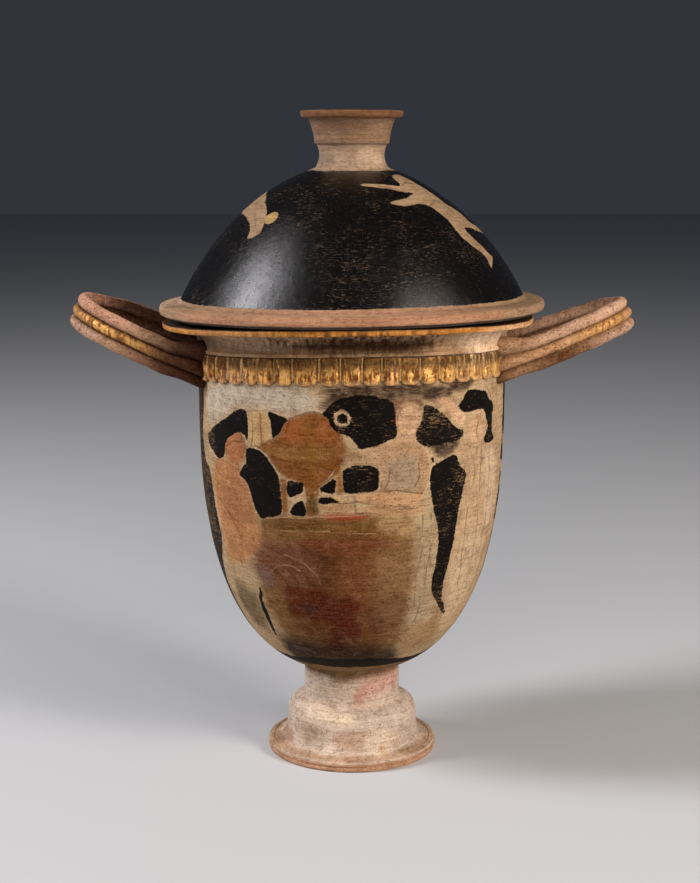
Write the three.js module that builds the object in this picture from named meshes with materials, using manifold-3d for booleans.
// A lidded cup-shaped pyxis of fired clay: a deep bowl on a moulded foot, with two tilted
// loop handles, a band of tongues in relief and a domed lid that lifts off by its knob.
// Millimetres, +Z up, with the origin at the middle of the foot's underside.
import * as THREE from 'three';
import { mergeVertices } from 'three/addons/utils/BufferGeometryUtils.js';
import Module from 'manifold-3d';

// Foot
const stemRadius = 30.3;
const shoulderWidth = 10.7; // from the stem out to the pedestal's wall
const footProjection = 12.3; // from the pedestal's wall out to the foot's edge
const footEdge = 5.6; // height of the foot's upright edge
const footGrooveHeight = 3.3;
const footGrooveDepth = 1.1;
const footTopRise = 1.7; // how far the base plate's top climbs inward
const footTopWidth = 4.6;
const pedestalTop = 22; // where the pedestal's wall turns into its shoulder
const stemFoot = 33.5; // where the shoulder meets the stem
const footRingWidth = 9; // width of the flat ring that the foot stands on
const footWall = 8; // clay left round the hollow under the foot

// Bowl
const bowlRadius = 94.5;
const bowlBottom = 53.6; // where the bowl's curve would close under the stem
const bowlShoulder = 240; // where the wall has become upright
const bowlWall = 6;
const floorThickness = 9;
const bowlFullness = 2.84; // exponents of the bowl's curve
const bowlRoundness = 2.55;

// Tongue band, neck, rim and lip
const tongueCount = 52;
const bandBottom = 246.6;
const bandHeight = 15.4;
const bandRelief = 2.6;
const tongueDrop = 2.8; // how far a tongue hangs below the grooves beside it
const filletHeight = 2.4;
const filletRelief = 1.2;
const neckHeight = 11.4;
const neckFlare = 6.5;
const rimOverhang = 19.2; // from the bowl's radius to the rim's edge
const rimThickness = 3.8;
const rimShift = 2.4; // how far the rim's edge runs off centre, to the left
const lipHeight = 6;
const lipThickness = 4.2;
const mouthInset = 2.5; // from the bowl's radius to the inside of the mouth

// Handles
const handleReach = 82; // from the bowl's wall to the outermost point, along the handle
const handleSpread = 76; // across the two arms, at the wall
const handleHeight = 20.5; // three rods, one on another
const handleThickness = 8;
const handleTilt = 20.5; // degrees above the horizontal
const handleRootRise = 4.4; // from the band's bottom up to the handle's middle line, at the wall
const leftHandleLift = 1.5; // degrees by which the left handle rises more steeply
const leftHandleRoll = 4.5; // degrees by which the left handle's far arm sits higher
const rodCount = 3;
const rodGroove = 1.4; // depth of the grooves between the rods
const handleBury = 16; // how far the arms run on inside the wall before the bowl is hollowed

// Lid
const lidOverhang = 4.3; // from the rim's edge to the lid's edge
const lidClearance = 1.2; // round the lip
const seatGap = 0.3; // between the rim and the lid that rests on it
const flangeThickness = 9;
const flangeReach = 12.7; // from the lid's edge to the foot of the dome
const flangeFall = 1.6; // how far the top of the flange falls outward
const flangeUndercut = 1.5; // how far the flange's underside climbs outward past the rim
const domeRise = 81;
const domeCut = 0.28; // share of the dome's full curve that is cut off at the flange
const domeFullness = 1.53; // exponents of the dome's curve
const domeRoundness = 1.82;
const lidWall = 6.5;

// Knob
const knobWaist = 19.3;
const knobFootFlare = 5.6; // from the waist out to the foot of the knob
const knobNeckHeight = 15;
const cupBaseStep = 3.3; // from the waist out to the base of the cup
const cupFlare = 3.8;
const cupHeight = 15.4;
const discOverhang = 4.9; // from the top of the cup out to the disc's edge
const discThickness = 4.6;
const discTaper = 0.8;
const dishRim = 6.2; // width of the flat ring round the dish in the disc's top
const dishDepth = 3.4;

// Out of true: the mouth drops at the handles and leans to one side, as the clay settled
const mouthSag = 4.5;
const lidSag = 1.2;
const mouthLean = 0.8; // degrees
const sagStart = 130; // height where the bowl begins to lose its truth

// Facets
const bowlSides = tongueCount;
const lidSides = 36;
const bowlSteps = 8;
const insideSteps = 5;
const domeSteps = 7;
const handleSteps = 12;
const columnsPerTongue = 3;

// Places that follow from the sizes above
const pedestalRadius = stemRadius + shoulderWidth;
const footRadius = pedestalRadius + footProjection;
const insideBottom = bowlBottom + bowlWall;
const bandTop = bandBottom + bandHeight;
const neckFoot = bandTop + filletHeight;
const handleRootHeight = bandBottom + handleRootRise;
const rimUnderside = neckFoot + neckHeight;
const rimTop = rimUnderside + rimThickness;
const rimRadius = bowlRadius + rimOverhang;
const mouthRadius = bowlRadius - mouthInset;
const lipRadius = mouthRadius + lipThickness;
const lidSeat = rimTop + seatGap;
const lidRadius = rimRadius + lidOverhang;
const domeFootRadius = lidRadius - flangeReach;
const domeFoot = lidSeat + flangeThickness;
const knobFootRadius = knobWaist + knobFootFlare;
const cupBaseRadius = knobWaist + cupBaseStep;
const cupTopRadius = cupBaseRadius + cupFlare;
const discRadius = cupTopRadius + discOverhang;
const dishRadius = discRadius - dishRim;

const wasm = await Module();
wasm.setup();

const clay = new THREE.MeshStandardMaterial({ color: 0xb99878, roughness: 0.8, metalness: 0 });
const glaze = new THREE.MeshStandardMaterial({ color: 0x2a211d, roughness: 0.45, metalness: 0 });

function smoothShare(value, low, high) {
  return THREE.MathUtils.smoothstep(value, low, high);
}

// A curve that starts upright at full radius and closes on the axis, as u goes from 0 to 1
function fullCurve(u, fullness, roundness) {
  return Math.pow(Math.max(0, 1 - Math.pow(u, fullness)), 1 / roundness);
}

// The height where the curve has a share of its full radius
function curveShareAt(radiusShare, fullness, roundness) {
  return Math.pow(1 - Math.pow(radiusShare, roundness), 1 / fullness);
}

function bowlRadiusAt(z, radius, bottom) {
  const u = THREE.MathUtils.clamp((bowlShoulder - z) / (bowlShoulder - bottom), 0, 1);
  return radius * fullCurve(u, bowlFullness, bowlRoundness);
}

// Points up a bowl's curve from the height where it has the first radius, closer near the bottom
function bowlCurve(radius, bottom, firstRadius, steps) {
  const last = curveShareAt(firstRadius / radius, bowlFullness, bowlRoundness);
  const points = [];
  for (let i = steps; i >= 0; i--) {
    const u = last * Math.sin((i / steps) * Math.PI / 2);
    const z = bowlShoulder - u * (bowlShoulder - bottom);
    points.push(new THREE.Vector2(i === steps ? firstRadius : bowlRadiusAt(z, radius, bottom), z));
  }
  return points;
}

function domePoint(u) {
  const cutShare = fullCurve(domeCut, domeFullness, domeRoundness);
  const share = fullCurve(domeCut + u * (1 - domeCut), domeFullness, domeRoundness) / cutShare;
  return new THREE.Vector2(domeFootRadius * share, domeFoot + u * domeRise);
}

// The share of the dome's rise where it has the given radius
function domeShareAt(radius) {
  const cutShare = fullCurve(domeCut, domeFullness, domeRoundness);
  const full = curveShareAt(radius / domeFootRadius * cutShare, domeFullness, domeRoundness);
  return (full - domeCut) / (1 - domeCut);
}

// A point moved square to the line from the one before it to the one after it
function offsetPoints(points, distance) {
  return points.map((point, i) => {
    const before = points[Math.max(0, i - 1)];
    const after = points[Math.min(points.length - 1, i + 1)];
    const along = after.clone().sub(before).normalize();
    return new THREE.Vector2(point.x - along.y * distance, point.y + along.x * distance);
  });
}

// A body turned on the wheel: its profile runs from axis to axis, counter-clockwise
function turned(profile, segments) {
  const geometry = new THREE.LatheGeometry(profile, segments);
  geometry.rotateX(Math.PI / 2);
  return geometry;
}

function solidOf(geometry) {
  const bare = geometry.clone();
  bare.deleteAttribute('normal');
  bare.deleteAttribute('uv');
  const merged = mergeVertices(bare, 1e-4);
  const corners = merged.index.array;
  const kept = [];
  for (let i = 0; i < corners.length; i += 3) {
    const [a, b, c] = [corners[i], corners[i + 1], corners[i + 2]];
    if (a !== b && b !== c && c !== a) kept.push(a, b, c);
  }
  const mesh = new wasm.Mesh({
    numProp: 3,
    vertProperties: new Float32Array(merged.attributes.position.array),
    triVerts: new Uint32Array(kept),
  });
  return new wasm.Manifold(mesh);
}

function geometryOf(solid) {
  const mesh = solid.getMesh();
  const geometry = new THREE.BufferGeometry();
  geometry.setAttribute('position', new THREE.BufferAttribute(new Float32Array(mesh.vertProperties), 3));
  geometry.setIndex(new THREE.BufferAttribute(new Uint32Array(mesh.triVerts), 1));
  geometry.computeVertexNormals();
  return geometry;
}

// Settled clay: every corner drops by the sag beside the handles and follows the lean
function settle(solid, sag, shareAt, shift = 0) {
  const slope = Math.tan(THREE.MathUtils.degToRad(mouthLean));
  return solid.warp((corner) => {
    const [x, y, z] = corner;
    const radius = Math.hypot(x, y);
    const towardHandle = radius > 0 ? (x / radius) ** 2 : 0;
    const drop = sag * towardHandle * smoothShare(radius, 0, bowlRadius / 2);
    corner[0] = x - shift * smoothShare(radius, lipRadius, rimRadius);
    corner[2] = z + shareAt(z) * (slope * x - drop);
  });
}

function settleBowl(solid) {
  return settle(solid, mouthSag, (z) => smoothShare(z, sagStart, bandBottom), rimShift);
}

// The outside of foot, stem, bowl, neck and rim, solid through
function bowlOutside() {
  const flare = footRadius - footTopWidth;
  const flareFoot = footEdge + footTopRise;
  const outline = new THREE.Path();
  outline.moveTo(0, 0);
  outline.lineTo(footRadius, 0);
  outline.lineTo(footRadius, footGrooveHeight - footGrooveDepth / 2);
  outline.lineTo(footRadius - footGrooveDepth, footGrooveHeight);
  outline.lineTo(footRadius, footGrooveHeight + footGrooveDepth / 2);
  outline.lineTo(footRadius, footEdge);
  outline.lineTo(flare, flareFoot);
  outline.quadraticCurveTo(pedestalRadius, flareFoot, pedestalRadius, pedestalTop * 0.8);
  outline.lineTo(pedestalRadius, pedestalTop);
  outline.bezierCurveTo(
    pedestalRadius, pedestalTop + (stemFoot - pedestalTop) * 0.7,
    stemRadius + shoulderWidth * 0.7, stemFoot - 0.6,
    stemRadius, stemFoot,
  );
  const points = outline.getPoints(3);
  points.push(...bowlCurve(bowlRadius, bowlBottom, stemRadius, bowlSteps));
  const rim = new THREE.Path();
  rim.moveTo(bowlRadius, bandTop);
  rim.lineTo(bowlRadius + filletRelief, bandTop);
  rim.lineTo(bowlRadius + filletRelief, neckFoot);
  rim.lineTo(bowlRadius, neckFoot + 0.4);
  rim.quadraticCurveTo(bowlRadius, rimUnderside - 1, bowlRadius + neckFlare, rimUnderside);
  rim.lineTo(rimRadius, rimUnderside + 0.3);
  rim.lineTo(rimRadius, rimTop);
  rim.lineTo(lipRadius, rimTop);
  rim.lineTo(lipRadius, rimTop + lipHeight);
  rim.lineTo(0, rimTop + lipHeight);
  points.push(...rim.getPoints(2));
  return solidOf(turned(points, bowlSides));
}

// What the bowl holds, up past its lip
function bowlInside() {
  const radius = bowlRadius - bowlWall;
  const points = [new THREE.Vector2(0, insideBottom)];
  points.push(...bowlCurve(radius, insideBottom, radius * 0.4, insideSteps));
  points.push(new THREE.Vector2(radius, bandTop));
  points.push(new THREE.Vector2(mouthRadius, rimUnderside));
  points.push(new THREE.Vector2(mouthRadius, rimTop + lipHeight + 1));
  points.push(new THREE.Vector2(0, rimTop + lipHeight + 1));
  return solidOf(turned(points, bowlSides));
}

// The hollow that the potter turned out under the foot
function footHollow() {
  const ring = footRadius - footRingWidth;
  const waist = stemRadius - footWall;
  const top = insideBottom - floorThickness;
  const outline = [
    [0, -1], [ring, -1], [ring - 1, footEdge], [pedestalRadius - footWall, pedestalTop],
    [waist, stemFoot], [waist * 0.75, top - 2], [0, top],
  ];
  return solidOf(turned(outline.map(([radius, z]) => new THREE.Vector2(radius, z)), bowlSides));
}

// Tongues in relief: full columns, with shallower and shorter grooves between them
function tongueBand() {
  const inner = bowlRadius - bowlWall / 2;
  const outer = bowlRadius + bandRelief;
  const profile = [
    new THREE.Vector2(inner, bandBottom),
    new THREE.Vector2(outer, bandBottom + 1),
    new THREE.Vector2(outer - bandRelief * 0.35, bandTop),
    new THREE.Vector2(inner, bandTop),
    new THREE.Vector2(inner, bandBottom),
  ];
  const ring = turned(profile, tongueCount * columnsPerTongue);
  const place = ring.attributes.position;
  for (let i = 0; i < place.count; i++) {
    const column = Math.floor(i / profile.length);
    const row = i % profile.length;
    if (column % columnsPerTongue !== 0 || row < 1 || row > 2) continue;
    const [x, y] = [place.getX(i), place.getY(i)];
    const share = 1 - bandRelief * 0.6 / Math.hypot(x, y);
    place.setX(i, x * share);
    place.setY(i, y * share);
    if (row === 1) place.setZ(i, place.getZ(i) + tongueDrop);
  }
  return solidOf(ring);
}

// The section of a handle: rods side by side, with a groove between each two, on both faces
function handleSection() {
  const rod = handleHeight / rodCount;
  const crest = handleThickness / 2;
  const points = [];
  for (const side of [1, -1]) {
    for (let k = 0; k < rodCount; k++) {
      const start = k * rod - handleHeight / 2;
      points.push(new THREE.Vector2(side * start, side * (crest - rodGroove)));
      points.push(new THREE.Vector2(side * (start + rod * 0.3), side * crest));
      points.push(new THREE.Vector2(side * (start + rod * 0.7), side * crest));
    }
    points.push(new THREE.Vector2(side * handleHeight / 2, side * (crest - rodGroove)));
  }
  return new THREE.Shape(points);
}

// A loop in its own plane, from wall to wall, tilted up about its root
function handle(side, lift, roll) {
  const reach = handleReach - handleThickness / 2;
  const spread = (handleSpread - handleThickness) / 2;
  const points = [new THREE.Vector3(-handleBury, -spread, 0)];
  for (let i = 0; i <= handleSteps; i++) {
    const angle = -Math.PI / 2 + Math.PI * i / handleSteps;
    points.push(new THREE.Vector3(reach * Math.cos(angle), spread * Math.sin(angle), 0));
  }
  points.push(new THREE.Vector3(-handleBury, spread, 0));
  const geometry = new THREE.ExtrudeGeometry(handleSection(), {
    steps: points.length - 1,
    bevelEnabled: false,
    extrudePath: new THREE.CatmullRomCurve3(points, false, 'centripetal'),
  });
  geometry.rotateX(THREE.MathUtils.degToRad(roll));
  geometry.rotateY(-THREE.MathUtils.degToRad(handleTilt + lift));
  geometry.translate(bowlRadius, 0, handleRootHeight);
  if (side < 0) geometry.rotateZ(Math.PI);
  return solidOf(geometry);
}

function bowl() {
  const turnedBody = settleBowl(bowlOutside().add(tongueBand()));
  const body = turnedBody.add(handle(1, 0, 0)).add(handle(-1, leftHandleLift, -leftHandleRoll));
  return body.subtract(settleBowl(bowlInside())).subtract(footHollow());
}

function lidProfile() {
  const knobShare = domeShareAt(knobFootRadius);
  const dome = [];
  for (let i = 0; i <= domeSteps; i++) dome.push(domePoint(knobShare * Math.sin(i / domeSteps * Math.PI / 2)));
  const crown = domePoint(1);
  const knobFoot = dome[dome.length - 1].y;
  const inside = offsetPoints([...dome.filter((_, i) => i % 2 === 0), crown], lidWall);
  const points = [new THREE.Vector2(0, crown.y - lidWall)];
  for (const point of inside.reverse()) {
    if (point.x > 0 && point.y > lidSeat + flangeThickness * 0.6 && point.y < crown.y - lidWall) points.push(point);
  }
  points.push(new THREE.Vector2(lipRadius + lidClearance, lidSeat + 2.5));
  points.push(new THREE.Vector2(lipRadius + lidClearance, lidSeat));
  const middle = lidSeat + flangeThickness * 0.5;
  const edge = new THREE.Path();
  edge.moveTo(rimRadius, lidSeat);
  edge.lineTo(lidRadius - 2.6, lidSeat + flangeUndercut);
  edge.quadraticCurveTo(lidRadius, lidSeat + flangeUndercut, lidRadius, middle);
  edge.quadraticCurveTo(lidRadius, domeFoot - flangeFall, lidRadius - 3.4, domeFoot - flangeFall);
  points.push(...edge.getPoints(2), ...dome);
  const knob = new THREE.Path();
  const cupBase = knobFoot + knobNeckHeight;
  const discUnderside = cupBase + cupHeight;
  const knobTop = discUnderside + discThickness;
  knob.moveTo(knobWaist + knobFootFlare * 0.5, knobFoot + 1.2);
  knob.quadraticCurveTo(knobWaist - 1.6, (knobFoot + cupBase) / 2, cupBaseRadius - 1, cupBase);
  knob.lineTo(cupBaseRadius, cupBase + 1.6);
  knob.quadraticCurveTo(cupBaseRadius + 0.8, (cupBase + discUnderside) / 2, cupTopRadius, discUnderside);
  knob.lineTo(discRadius - discTaper, discUnderside + 0.6);
  knob.lineTo(discRadius, knobTop);
  knob.lineTo(dishRadius, knobTop);
  knob.quadraticCurveTo(dishRadius * 0.7, knobTop - dishDepth, 0, knobTop - dishDepth);
  points.push(...knob.getPoints(2));
  return points;
}

function lid() {
  const solid = solidOf(turned(lidProfile(), lidSides));
  return settle(solid, lidSag, (z) => 1 - smoothShare(z, domeFoot, domeFoot + domeRise * 0.85));
}

const pyxis = new THREE.Group();
for (const [name, solid, material] of [['bowl', bowl(), clay], ['lid', lid(), glaze]]) {
  const piece = new THREE.Mesh(geometryOf(solid), material);
  piece.name = name;
  pyxis.add(piece);
}

export default pyxis;
